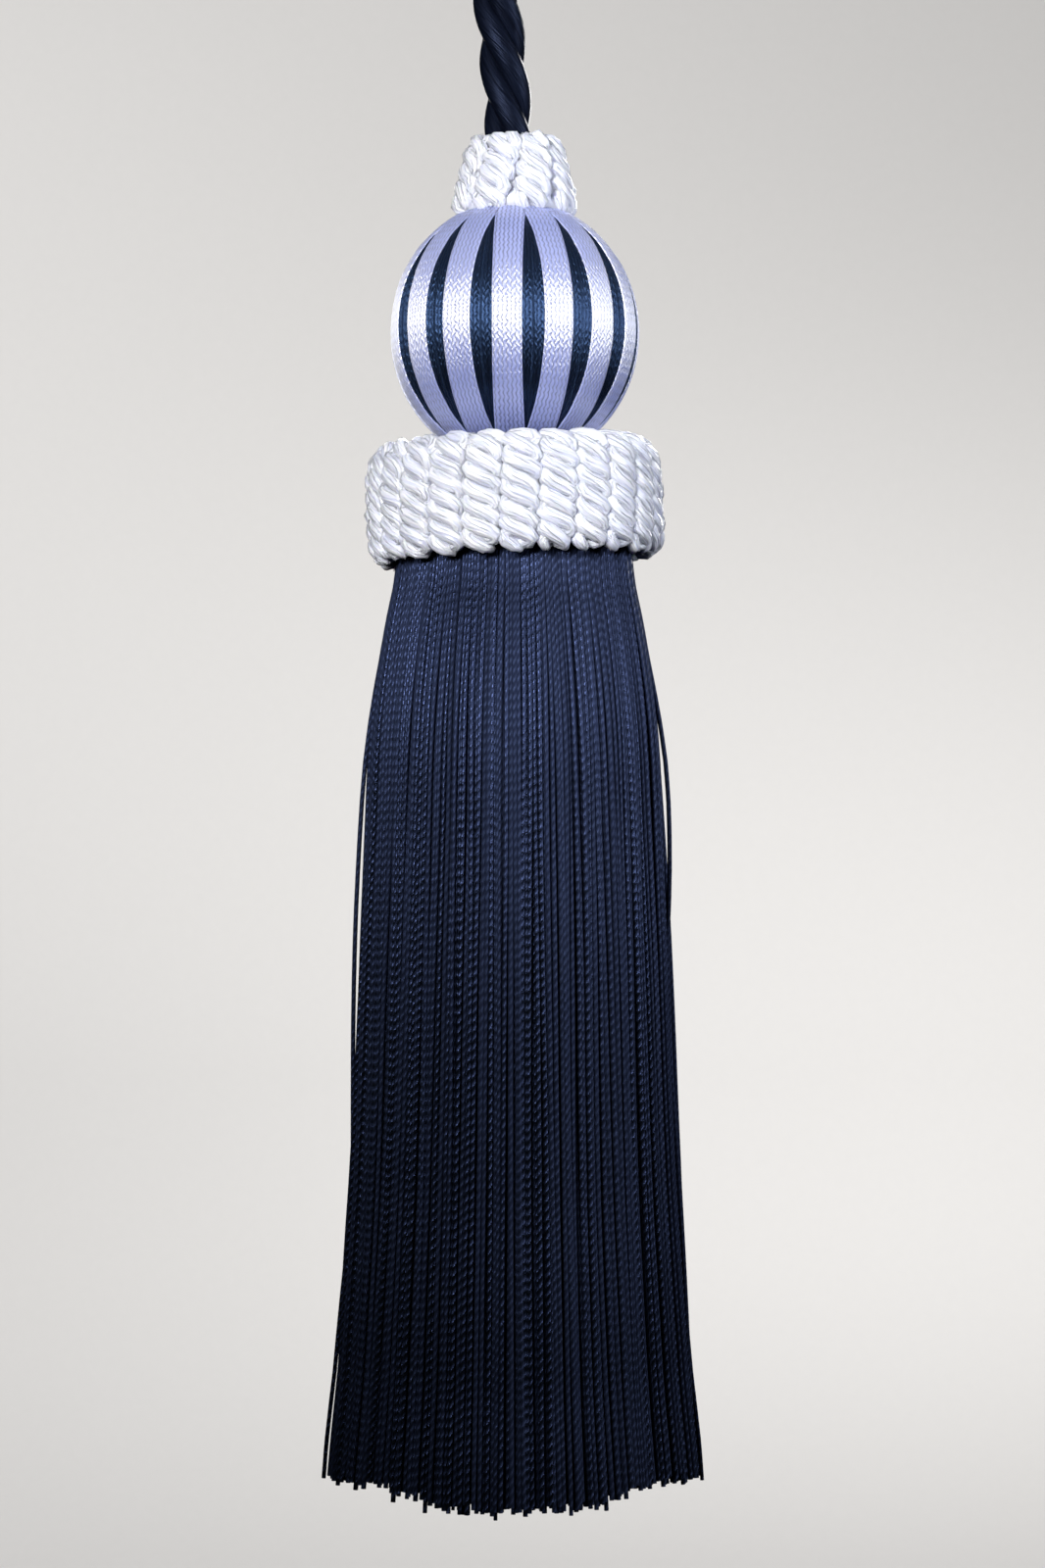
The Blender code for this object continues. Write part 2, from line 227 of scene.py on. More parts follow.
class MaterialGraph(Graph):
    """A material's tree with one Principled shader."""

    def __init__(self, name: str) -> None:
        """Make the material, empty but for its shader and output."""
        self.material = bpy.data.materials.new(name)
        self.material.use_nodes = True
        super().__init__(self.material.node_tree)
        self.shader = self.tree.nodes["Principled BSDF"]

    def attribute(self, name: str, key: str = "Fac") -> Wire:
        """A number or a vector stored on the mesh."""
        return self.out(self.node("ShaderNodeAttribute", {"attribute_name": name}), key)

    def fix(self, **values: Union[float, Tuple[float, ...]]) -> None:
        """Set the shader's own sockets, with _ for a space in their names."""
        for name, value in values.items():
            self.shader.inputs[name.replace("_", " ")].default_value = value

    def finish(self, colour: Socket, roughness: Socket, height: Wire, relief: float, depth: float) -> None:
        """Feed the shader's colour, roughness and bump.

        Args:
            colour: Base colour.
            roughness: Roughness, a number or a link.
            height: The bump's height, between 0 and 1.
            relief: The bump's strength.
            depth: The bump's real height in metres.
        """
        self.feed(self.shader.inputs["Base Color"], colour)
        self.feed(self.shader.inputs["Roughness"], roughness)
        bump = self.node("ShaderNodeBump", None, {"Strength": relief, "Distance": depth, "Height": height})
        self.feed(self.shader.inputs["Normal"], self.out(bump))


@dataclass(frozen=True)
class TwistedFibre:
    """Fibres that run along a ply or a yarn and turn about it with its twist."""

    name: str
    light: Colour
    dark: Colour
    roughness: float
    sheen: float
    specular: float
    tint: Colour
    fibres: float
    fibre_mm: float
    turns_per_mm: float
    relief_mm: float
    tone_share: float = 0.5
    groove: float = 0.0
    rough_spread: float = 0.08
    rough_groove: float = 0.35
    rough_tone: float = 0.0
    stretch: float = 0.0
    glow: float = 0.0

    def material(self) -> bpy.types.Material:
        """Build the finish, which reads the strand and tone attributes."""
        graph = MaterialGraph(self.name)
        cosine, sine, along = graph.parts(graph.attribute("strand", "Vector"))
        tone = graph.attribute("tone")
        turned = along * (self.turns_per_mm * math.tau) + tone * 31.0
        turned_cosine, turned_sine = turned.cosine(), turned.sine()
        across = cosine * turned_cosine - sine * turned_sine
        around = sine * turned_cosine + cosine * turned_sine
        place = graph.combined(across * self.fibres, around * self.fibres, along / self.fibre_mm)
        moved = graph.vectors("ADD", place, graph.combined(tone * 37.0, tone * 11.0, tone * 53.0))
        fibre = graph.noise(moved, detail=2.0, roughness=0.6)
        streak = fibre.stretch(0.32, 0.68)
        mixed = streak * (1.0 - self.tone_share) + tone * self.tone_share
        # Painted shade: where groove is set, crest darkens the colour in the grooves between the plies, and it also
        # shapes the bump and roughness.
        crest = 1.0 - around.absolute().stretch(0.45, 0.95) * self.groove
        colour = graph.blend(mixed * crest, self.dark, self.light)
        height = fibre * (1.0 - self.groove * 0.6) + crest * self.groove
        rough = self.roughness + (fibre - 0.5) * self.rough_spread + (1.0 - crest) * self.rough_groove
        rough = rough + (tone - 0.5) * self.rough_tone
        graph.fix(Sheen_Weight=self.sheen, Sheen_Roughness=0.35, Specular_IOR_Level=self.specular,
                  Specular_Tint=(*self.tint, 1.0), Anisotropic=self.stretch,
                  Subsurface_Weight=self.glow, Subsurface_Radius=(1.0, 0.9, 1.0), Subsurface_Scale=0.9 * MM)
        graph.finish(colour, rough, height, 1.0, self.relief_mm * MM)
        return graph.material


@dataclass(frozen=True)
class SatinCover:
    """Satin threads laid side by side, each broken into short staggered, slightly wavy stitches."""

    name: str
    light: Colour
    dark: Colour
    roughness: float
    sheen: float
    specular: float
    tint: Colour
    thread_mm: float
    stitch_mm: float
    sway: float
    swell: float
    dash: float
    groove: float
    index: float
    stretch: float
    relief_mm: float

    def material(self) -> bpy.types.Material:
        """Build the finish, which reads the cover and piece attributes."""
        graph = MaterialGraph(self.name)
        across, along, _ = graph.parts(graph.attribute("cover", "Vector"))
        piece = graph.attribute("tone")
        uneven = graph.noise(graph.combined(across * 0.25, along * 0.30, piece * 29.0), detail=1.0)
        sway = ((along / self.stitch_mm + uneven) * math.tau).sine() * self.sway
        column = across / self.thread_mm + sway + (uneven - 0.5) * 0.4
        number = column.floor()
        stagger = graph.noise(graph.combined(number * 3.7, piece * 41.0, 0.5), detail=0.0) * 0.4
        stitch = ((along / self.stitch_mm + number * 0.5 + stagger + uneven) * math.tau).sine() * 0.5 + 0.5
        ridge = (column * math.pi).sine().absolute() ** 0.7
        groove = 1.0 - ridge.stretch(0.20, 0.90)
        dash = groove * (1.0 - stitch)
        speck = graph.noise(graph.combined(column * 3.0, along * 1.6, piece * 17.0), detail=2.0)
        # Painted shade: the colour darkens in the grooves between threads and in the gaps between stitches; the speck
        # adds random tone.
        gap_shade_and_speck = dash * self.dash + groove * self.groove + (speck - 0.5) * 0.4
        colour = graph.blend(gap_shade_and_speck, self.light, self.dark)
        height = ridge * (stitch * self.swell + (1.0 - self.swell)) + speck * 0.04
        graph.fix(Sheen_Weight=self.sheen, Sheen_Roughness=0.35, Specular_IOR_Level=self.specular,
                  Specular_Tint=(*self.tint, 1.0), IOR=self.index, Anisotropic=self.stretch)
        graph.finish(colour, self.roughness + dash * 0.30, height, 1.0, self.relief_mm * MM)
        return graph.material


@dataclass(frozen=True)
class PaintedWall:
    """A plain pale matt surface for the floor and the wall behind."""

    name: str
    colour: Colour
    roughness: float = 0.9

    def material(self) -> bpy.types.Material:
        """Build the finish, which reads Object coordinates."""
        graph = MaterialGraph(self.name)
        place = graph.out(graph.node("ShaderNodeTexCoord"), "Object")
        grain = graph.noise(place, detail=3.0, scale=160.0)
        shade = tuple(value * 0.97 for value in self.colour)
        colour = graph.blend(grain, shade, self.colour)
        graph.finish(colour, self.roughness, grain, 0.05, 0.2 * MM)
        return graph.material


CORD_SATIN = TwistedFibre(
    "cord_satin", light=(0.004, 0.006, 0.014), dark=(0.0012, 0.0016, 0.004), roughness=0.42, sheen=0.0,
    specular=0.20, tint=(0.42, 0.54, 1.0), fibres=5.0, fibre_mm=9.0, turns_per_mm=0.03, relief_mm=0.22,
    tone_share=0.1)
BINDING_THREAD = TwistedFibre(
    "binding_thread", light=(0.004, 0.006, 0.014), dark=(0.0012, 0.0016, 0.004), roughness=0.36, sheen=0.0,
    specular=0.40, tint=(0.36, 0.50, 1.0), fibres=5.0, fibre_mm=3.0, turns_per_mm=0.5, relief_mm=0.08,
    tone_share=0.2)
WHITE_FLOSS = TwistedFibre(
    "white_floss", light=(0.98, 0.98, 1.0), dark=(0.64, 0.67, 0.86), roughness=0.32, sheen=0.15,
    specular=1.0, tint=(1.0, 1.0, 1.0), fibres=3.8, fibre_mm=3.0, turns_per_mm=0.03, relief_mm=0.34,
    tone_share=0.12, glow=0.45)
# The navy yarn's groove paints shade into the colour between its two plies, besides their bump.
NAVY_YARN = TwistedFibre(
    "navy_yarn", light=(0.0032, 0.0040, 0.0052), dark=(0.0008, 0.0010, 0.0014), roughness=0.36, sheen=0.0,
    specular=0.60, tint=(0.28, 0.39, 0.89), fibres=2.0, fibre_mm=1.6, turns_per_mm=-0.345, relief_mm=0.045,
    tone_share=0.55, groove=0.9, stretch=0.85, rough_tone=0.28)
# For the satins, dash and groove set how strongly painted shade darkens the gaps between stitches and threads.
NAVY_SATIN = SatinCover(
    "navy_satin", light=(0.0025, 0.0036, 0.0070), dark=(0.0010, 0.0013, 0.0024), roughness=0.48, sheen=0.0,
    specular=1.0, tint=(0.24, 0.45, 1.0), thread_mm=0.62, stitch_mm=1.35, sway=0.12, swell=0.25, dash=0.9,
    groove=0.3, index=1.55, stretch=0.85, relief_mm=0.12)
WHITE_SATIN = SatinCover(
    "white_satin", light=(0.36, 0.42, 0.86), dark=(0.06, 0.075, 0.24), roughness=0.56, sheen=0.0,
    specular=1.0, tint=(1.0, 0.98, 0.88), thread_mm=0.68, stitch_mm=1.35, sway=0.14, swell=0.30, dash=0.9,
    groove=0.35, index=2.8, stretch=0.85, relief_mm=0.12)
WALL_PAINT = PaintedWall("pale_paint", colour=(0.68, 0.665, 0.65))


class SocketKind(Enum):
    """Kinds of named input that a Geometry Nodes tree takes."""

    GEOMETRY = "NodeSocketGeometry"
    NUMBER = "NodeSocketFloat"
    WHOLE = "NodeSocketInt"
    VECTOR = "NodeSocketVector"
    MATERIAL = "NodeSocketMaterial"


class MakerGraph(Graph):
    """A Geometry Nodes tree with named inputs, which turns guide lines into finished meshes."""

    def __init__(self, name: str, inputs: Dict[str, SocketKind]) -> None:
        """Make the tree.

        Args:
            name: The tree's name.
            inputs: Its inputs' names and kinds, after the geometry.
        """
        tree = bpy.data.node_groups.new(name, "GeometryNodeTree")
        super().__init__(tree)
        tree.interface.new_socket("Geometry", in_out="INPUT", socket_type=SocketKind.GEOMETRY.value)
        tree.interface.new_socket("Geometry", in_out="OUTPUT", socket_type=SocketKind.GEOMETRY.value)
        self.identifiers: Dict[str, str] = {}
        for label, kind in inputs.items():
            socket = tree.interface.new_socket(label, in_out="INPUT", socket_type=kind.value)
            self.identifiers[label] = socket.identifier
        self.entry = tree.nodes.new("NodeGroupInput")

    def given(self, label: str) -> Wire:
        """One of the tree's inputs."""
        return self.out(self.entry, label)

    def named(self, name: str, kind: str = "FLOAT") -> Wire:
        """A stored attribute."""
        return self.out(self.node("GeometryNodeInputNamedAttribute", {"data_type": kind}, {"Name": name}))

    def store(self, geometry: Wire, name: str, value: Socket, kind: str = "FLOAT", domain: str = "POINT") -> Wire:
        """Store an attribute.

        Args:
            geometry: What it is stored on.
            name: The attribute's name.
            value: Its value.
            kind: Its data type.
            domain: Where it is stored.

        Returns:
            The geometry that holds it.
        """
        return self.out(self.node(
            "GeometryNodeStoreNamedAttribute", {"data_type": kind, "domain": domain},
            {"Geometry": geometry, "Name": name, "Value": value}))

    def position(self) -> Wire:
        """Each point's place."""
        return self.out(self.node("GeometryNodeInputPosition"))

    def moved(self, geometry: Wire, offset: Wire) -> Wire:
        """Move each point by an offset."""
        return self.out(self.node("GeometryNodeSetPosition", None, {"Geometry": geometry, "Offset": offset}))

    def jostled(self, geometry: Wire, amount: Socket, size: Socket, seed: Socket) -> Wire:
        """Shift points a little, alike where they are close.

        Args:
            geometry: What is shifted.
            amount: The furthest shift.
            size: The distance over which the shift changes.
            seed: Picks another shift.

        Returns:
            The shifted geometry.
        """
        place = self.scaled(self.position(), 1.0 / size)
        place = self.vectors("ADD", place, self.combined(seed, seed, seed))
        node = self.node("ShaderNodeTexNoise", None, {"Vector": place, "Scale": 1.0, "Detail": 1.0})
        shift = self.vectors("SUBTRACT", self.out(node, "Color"), (0.5, 0.5, 0.5))
        return self.moved(geometry, self.scaled(shift, amount * 2.0))

    def ring(self, geometry: Wire, count: Socket, first: Socket, seed: Socket) -> Wire:
        """Repeat a geometry about the upright axis, each copy with a tone of its own.

        Args:
            geometry: What is repeated.
            count: How many copies.
            first: The angle of the first copy.
            seed: The seed of their tones.

        Returns:
            The copies, realized.
        """
        points = self.out(self.node("GeometryNodePoints", None, {"Count": count}))
        number = self.out(self.node("GeometryNodeInputIndex"))
        turn = self.combined(0.0, 0.0, first + number * (math.tau / count))
        turned = self.out(self.node("FunctionNodeEulerToRotation", None, {0: turn}))
        copies = self.out(self.node("GeometryNodeInstanceOnPoints", None, {
            "Points": points, "Instance": geometry, "Rotation": turned}))
        tone = self.node("FunctionNodeRandomValue", {"data_type": "FLOAT"}, {8: seed})
        copies = self.store(copies, "tone", self.out(tone, 1), domain="INSTANCE")
        return self.out(self.node("GeometryNodeRealizeInstances", None, {0: copies}))

    def close(self, geometry: Wire) -> None:
        """End the tree with smooth shading, realized instances and the material."""
        smooth = self.out(self.node("GeometryNodeSetShadeSmooth", None, {0: geometry}))
        whole = self.out(self.node("GeometryNodeRealizeInstances", None, {0: smooth}))
        dressed = self.out(self.node("GeometryNodeSetMaterial", None, {
            "Geometry": whole, "Material": self.given("Material")}))
        exit_node = self.tree.nodes.new("NodeGroupOutput")
        self.feed(exit_node.inputs[0], dressed)

    def swept(self, lines: Wire, profile: Wire, size: Socket) -> Wire:
        """Sweep a profile along lines and store how fibres run on it.

        Args:
            lines: Curves whose points hold the attribute along, in millimetres.
            profile: The closed profile, whose points hold the attributes around_x and around_y.
            size: The profile's scale at each point of the lines.

        Returns:
            The mesh, with the vector attribute strand.
        """
        mesh = self.out(self.node("GeometryNodeCurveToMesh", None, {
            "Curve": lines, "Profile Curve": profile, "Scale": size, "Fill Caps": True}))
        strand = self.combined(self.named("around_x"), self.named("around_y"), self.named("along"))
        return self.store(mesh, "strand", strand, kind="FLOAT_VECTOR")

    def profile(self, sides: Socket, radius: Socket) -> Wire:
        """A round profile that knows the angle about it.

        Args:
            sides: How many points it has.
            radius: Its radius.

        Returns:
            The profile curve.
        """
        circle = self.out(self.node("GeometryNodeCurvePrimitiveCircle", None, {
            "Resolution": sides, "Radius": radius}))
        angle = self.out(self.node("GeometryNodeSplineParameter"), 0) * math.tau
        circle = self.store(circle, "around_x", angle.cosine())
        return self.store(circle, "around_y", angle.sine())

    def lines(self, guides: Wire, step: Socket) -> Wire:
        """Turn guide edges into curves with a point at every step, and store their length so far."""
        curves = self.out(self.node("GeometryNodeMeshToCurve", None, {0: guides}))
        even = self.out(self.node("GeometryNodeResampleCurve", {"mode": "LENGTH"}, {
            "Curve": curves, "Length": step}))
        length = self.out(self.node("GeometryNodeSplineParameter"), "Length")
        return self.store(even, "along", length / MM)

    def laid(self, lines: Wire, out: Wire, what: str, start: Socket) -> Wire:
        """Lay copies of each line round it, as plies or strands.

        Args:
            lines: Curves from the method lines, whose points hold the attributes scale and tone.
            out: The direction in which the line faces at each point.
            what: The start of the names of the inputs that give the number and lay of the copies.
            start: The first copy's angle.

        Returns:
            The copies, each with a tone of its own.
        """
        copies = self.node("GeometryNodeDuplicateElements", {"domain": "SPLINE"}, {
            "Geometry": lines, "Amount": self.given(what)})
        number = self.out(copies, "Duplicate Index")
        along, tone, scale = self.named("along"), self.named("tone"), self.named("scale")
        turn = along * MM * self.given(what + " Turns") + number / self.given(what)
        angle = (turn + tone * self.given("Tone Turns")) * math.tau + start
        tangent = self.out(self.node("GeometryNodeInputTangent"))
        side = self.vectors("NORMALIZE", self.vectors("CROSS_PRODUCT", out, tangent))
        face = self.vectors("CROSS_PRODUCT", tangent, side)
        sideways = self.scaled(side, angle.cosine() * self.given(what + " Across") * scale)
        outwards = self.scaled(face, angle.sine() * self.given(what + " Outwards") * scale)
        moved = self.moved(self.out(copies), self.vectors("ADD", sideways, outwards))
        return self.store(moved, "tone", self.maths("FRACT", tone * 3.0 + number * 0.381966))

    def plied(self, lines: Wire, out: Wire) -> Wire:
        """Lay plies round each line and strands round each ply, and sweep the strands.

        Args:
            lines: Curves from the method lines, whose points hold the attributes scale and tone.
            out: The direction in which the cord faces at each point.

        Returns:
            The strands' mesh.
        """
        plies = self.laid(lines, out, "Plies", self.given("Start Angle"))
        strands = self.laid(plies, out, "Strands", 0.0)
        strands = self.jostled(strands, self.given("Stray"), self.given("Stray Size"), self.named("tone") * 9.0)
        lumps = self.noise(self.scaled(self.position(), self.given("Lumps per Metre")), detail=1.0)
        size = self.named("scale") * (1.0 + (lumps - 0.5) * 2.0 * self.given("Lumpiness"))
        return self.swept(strands, self.profile(self.given("Sides"), self.given("Radius")), size)


PLY_INPUTS: Dict[str, SocketKind] = {
    "Material": SocketKind.MATERIAL, "Step": SocketKind.NUMBER, "Radius": SocketKind.NUMBER,
    "Sides": SocketKind.WHOLE, "Start Angle": SocketKind.NUMBER, "Tone Turns": SocketKind.NUMBER,
    "Plies": SocketKind.WHOLE, "Plies Across": SocketKind.NUMBER, "Plies Outwards": SocketKind.NUMBER,
    "Plies Turns": SocketKind.NUMBER, "Strands": SocketKind.WHOLE, "Strands Across": SocketKind.NUMBER,
    "Strands Outwards": SocketKind.NUMBER, "Strands Turns": SocketKind.NUMBER,
    "Stray": SocketKind.NUMBER, "Stray Size": SocketKind.NUMBER,
    "Lumps per Metre": SocketKind.NUMBER, "Lumpiness": SocketKind.NUMBER,
}


def ruff_tree() -> MakerGraph:
    """A tree that repeats one guide round a ring and winds it with plied cord."""
    graph = MakerGraph("wound_ring", {
        **PLY_INPUTS, "Turns": SocketKind.WHOLE, "First Angle": SocketKind.NUMBER, "Seed": SocketKind.WHOLE,
        "Uneven": SocketKind.NUMBER, "Uneven Size": SocketKind.NUMBER})
    seed = graph.given("Seed")
    turns = graph.ring(graph.given("Geometry"), graph.given("Turns"), graph.given("First Angle"), seed)
    turns = graph.jostled(turns, graph.given("Uneven"), graph.given("Uneven Size"), seed)
    lines = graph.lines(turns, graph.given("Step"))
    flat = graph.vectors("MULTIPLY", graph.position(), (1.0, 1.0, 0.0))
    radial = graph.vectors("NORMALIZE", flat)
    out = graph.vectors(
        "ADD", graph.scaled(radial, graph.named("out_radial")), graph.combined(0.0, 0.0, graph.named("out_up")))
    graph.close(graph.plied(lines, graph.vectors("NORMALIZE", out)))
    return graph


def cord_tree() -> MakerGraph:
    """A tree that lays plies along a route in the X-Z plane."""
    graph = MakerGraph("plied_cord", PLY_INPUTS)
    lines = graph.lines(graph.given("Geometry"), graph.given("Step"))
    graph.close(graph.plied(lines, graph.combined(0.0, 1.0, 0.0)))
    return graph


def yarn_tree() -> MakerGraph:
    """A tree that sweeps a round profile along many guides."""
    graph = MakerGraph("round_yarn", {
        "Material": SocketKind.MATERIAL, "Step": SocketKind.NUMBER, "Radius": SocketKind.NUMBER,
        "Sides": SocketKind.WHOLE})
    lines = graph.lines(graph.given("Geometry"), graph.given("Step"))
    turned = graph.named("tone") * math.tau
    lines = graph.out(graph.node("GeometryNodeSetCurveTilt", None, {"Curve": lines, "Tilt": turned}))
    profile = graph.profile(graph.given("Sides"), graph.given("Radius"))
    graph.close(graph.swept(lines, profile, graph.named("scale")))
    return graph


def gore_tree() -> MakerGraph:
    """A tree that repeats one gore of laid threads round the ball."""
    graph = MakerGraph("laid_gores", {
        "Material": SocketKind.MATERIAL, "Gores": SocketKind.WHOLE, "First Angle": SocketKind.NUMBER,
        "Seed": SocketKind.WHOLE, "Uneven": SocketKind.NUMBER, "Uneven Size": SocketKind.NUMBER})
    seed = graph.given("Seed")
    gores = graph.ring(graph.given("Geometry"), graph.given("Gores"), graph.given("First Angle"), seed)
    joined = graph.out(graph.node("GeometryNodeMergeByDistance", None, {0: gores, "Distance": 0.002 * MM}))
    graph.close(graph.jostled(joined, graph.given("Uneven"), graph.given("Uneven Size"), seed))
    return graph


def run_maker(name: str, source: bpy.types.Mesh, graph: MakerGraph, values: Dict[str, object]) -> bpy.types.Object:
    """Run a tree on a source mesh and keep the result as a plain mesh.

    Args:
        name: The finished piece's name.
        source: The guides that the tree reads.
        graph: The tree.
        values: Its inputs by name.

    Returns:
        The finished piece, with no modifier.
    """
    holder = bpy.data.objects.new(name + "_guides", source)
    bpy.context.scene.collection.objects.link(holder)
    modifier = holder.modifiers.new("make", "NODES")
    modifier.node_group = graph.tree
    for label, value in values.items():
        modifier[graph.identifiers[label]] = value
    view = bpy.context.evaluated_depsgraph_get()
    mesh = bpy.data.meshes.new_from_object(holder.evaluated_get(view), depsgraph=view)
    bpy.data.objects.remove(holder)
    return add_piece(name, mesh)


def add_piece(name: str, mesh: bpy.types.Mesh) -> bpy.types.Object:
    """Link a mesh as an object at the origin."""
    mesh.name = name
    piece = bpy.data.objects.new(name, mesh)
    bpy.context.scene.collection.objects.link(piece)
    return piece


def mesh_of(name: str, points: Sequence[Vector], faces: Sequence[Sequence[int]]) -> bpy.types.Mesh:
    """A smooth-shaded mesh of points and faces."""
    mesh = bpy.data.meshes.new(name)
    mesh.from_pydata([tuple(point) for point in points], [], faces)
    mesh.shade_smooth()
    return mesh


def guide_mesh(name: str, lines: Sequence[Sequence[Vector]], facts: Dict[str, Sequence[float]]) -> bpy.types.Mesh:
    """Guide lines as edges, with a number of each kind stored at each point.

    Args:
        name: The mesh's name.
        lines: The lines' points.
        facts: Attribute names, each with a value for every point of every line.

    Returns:
        The mesh of edges.
    """
    points = [tuple(point) for line in lines for point in line]
    edges = []
    first = 0
    for line in lines:
        edges.extend((first + index, first + index + 1) for index in range(len(line) - 1))
        first += len(line)
    mesh = bpy.data.meshes.new(name)
    mesh.from_pydata(points, edges, [])
    for label, values in facts.items():
        mesh.attributes.new(label, "FLOAT", "POINT").data.foreach_set("value", list(values))
    return mesh


def loft(rows: int, columns: int, closed_rows: bool = False, closed_columns: bool = True) -> List[Tuple[int, ...]]:
    """Quads between rows of points.

    Args:
        rows: How many rows.
        columns: How many points in a row.
        closed_rows: Whether the last row joins the first.
        closed_columns: Whether each row closes on itself.

    Returns:
        The faces.
    """
    faces = []
    for row in range(rows if closed_rows else rows - 1):
        below = row * columns
        above = ((row + 1) % rows) * columns
        for column in range(columns if closed_columns else columns - 1):
            after = (column + 1) % columns
            faces.append((below + column, below + after, above + after, above + column))
    return faces


def polar(radius: float, angle: float, height: float) -> Vector:
    """A point from its distance to the axis, its angle about it and its height."""
    return Vector((radius * math.cos(angle), radius * math.sin(angle), height))


def smooth_line(knots: Sequence[Vector], parts: int) -> List[Vector]:
    """Points along a smooth curve through knots.

    Args:
        knots: The points that the curve passes through.
        parts: How many points each span between two knots gets.

    Returns:
        The curve's points, from the first knot to the last.
    """
    padded = [knots[0] * 2 - knots[1], *knots, knots[-1] * 2 - knots[-2]]
    line = []
    for index in range(1, len(padded) - 2):
        before, start, end, after = padded[index - 1:index + 3]
        for part in range(parts):
            t = part / parts
            line.append(0.5 * (
                2 * start + (end - before) * t
                + (2 * before - 5 * start + 4 * end - after) * t * t
                + (3 * start - before - 3 * end + after) * t ** 3))
    line.append(padded[-2].copy())
    return line


def line_length(line: Sequence[Vector]) -> float:
    """The length of a line of points."""
    return sum((end - start).length for start, end in zip(line, line[1:]))


def dress(piece: bpy.types.Object, slot: str, *nodes: str) -> bpy.types.Object:
    """Ride a piece on the body and let it stand for CAD nodes."""
    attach(piece, "root")
    if nodes:
        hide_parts(*nodes)
    LOG.info("%s: %d faces", piece.name, len(piece.data.polygons))
    return piece


@dataclass
class HangingCord:
    """The three-ply satin cord, up through its binding, round the loop and back."""

    diameter: float = 8.0 * MM
    ply_radius: float = 2.02 * MM
    ply_offset: float = 1.96 * MM
    lay: float = 30.0 * MM
    start_angle: float = math.radians(-18.0)
    step: float = 1.0 * MM
    sides: int = 16
    route_mm: Tuple[Tuple[float, float], ...] = (
        (-0.2, -102.4), (-0.4, -97.0), (-0.8, -91.0), (-1.3, -84.0), (-2.0, -76.0), (-2.8, -68.5),
        (-3.5, -62.0), (-3.9, -56.0), (-4.0, -50.0), (-4.6, -44.8), (-6.2, -39.9), (-8.6, -34.7),
        (-12.0, -27.4), (-15.4, -20.2), (-17.0, -13.0), (-14.7, -4.5), (-8.5, 1.7), (0.0, 4.0),
        (8.5, 1.7), (14.7, -4.5), (17.0, -13.0), (15.4, -20.2), (12.0, -27.4), (8.6, -34.7),
        (6.7, -38.8), (5.1, -43.7), (4.5, -48.9), (4.5, -56.5), (4.5, -64.6),
    )
    exit_mm: Tuple[float, float, float] = (-0.8, 0.0, -90.6)

    def route(self) -> List[Vector]:
        """The cord's centre line."""
        return smooth_line([Vector((x * MM, 0.0, z * MM)) for x, z in self.route_mm], 6)

    def build(self) -> bpy.types.Object:
        """Lay the plies along the route."""
        line = self.route()
        guides = guide_mesh("cord_guides", [line], {"scale": [1.0] * len(line), "tone": [0.0] * len(line)})
        return run_maker("hanging_cord", guides, cord_tree(), {
            "Material": CORD_SATIN.material(), "Step": self.step, "Radius": self.ply_radius,
            "Sides": self.sides, "Start Angle": self.start_angle, "Tone Turns": 0.0,
            "Plies": 3, "Plies Across": self.ply_offset, "Plies Outwards": self.ply_offset,
            "Plies Turns": -1.0 / self.lay, "Strands": 1, "Strands Across": 0.0, "Strands Outwards": 0.0,
            "Strands Turns": 0.0, "Stray": 0.0, "Stray Size": 1.0, "Lumps per Metre": 60.0, "Lumpiness": 0.03})

    def declare(self, piece: bpy.types.Object, pieces: Sequence[bpy.types.Object]) -> None:
        """Ride the cord on the body in place of the CAD cord; its route's length is worked out but not kept."""
        line = self.route()
        dress(piece, "navy_cord", "cord")
        line_length(line)


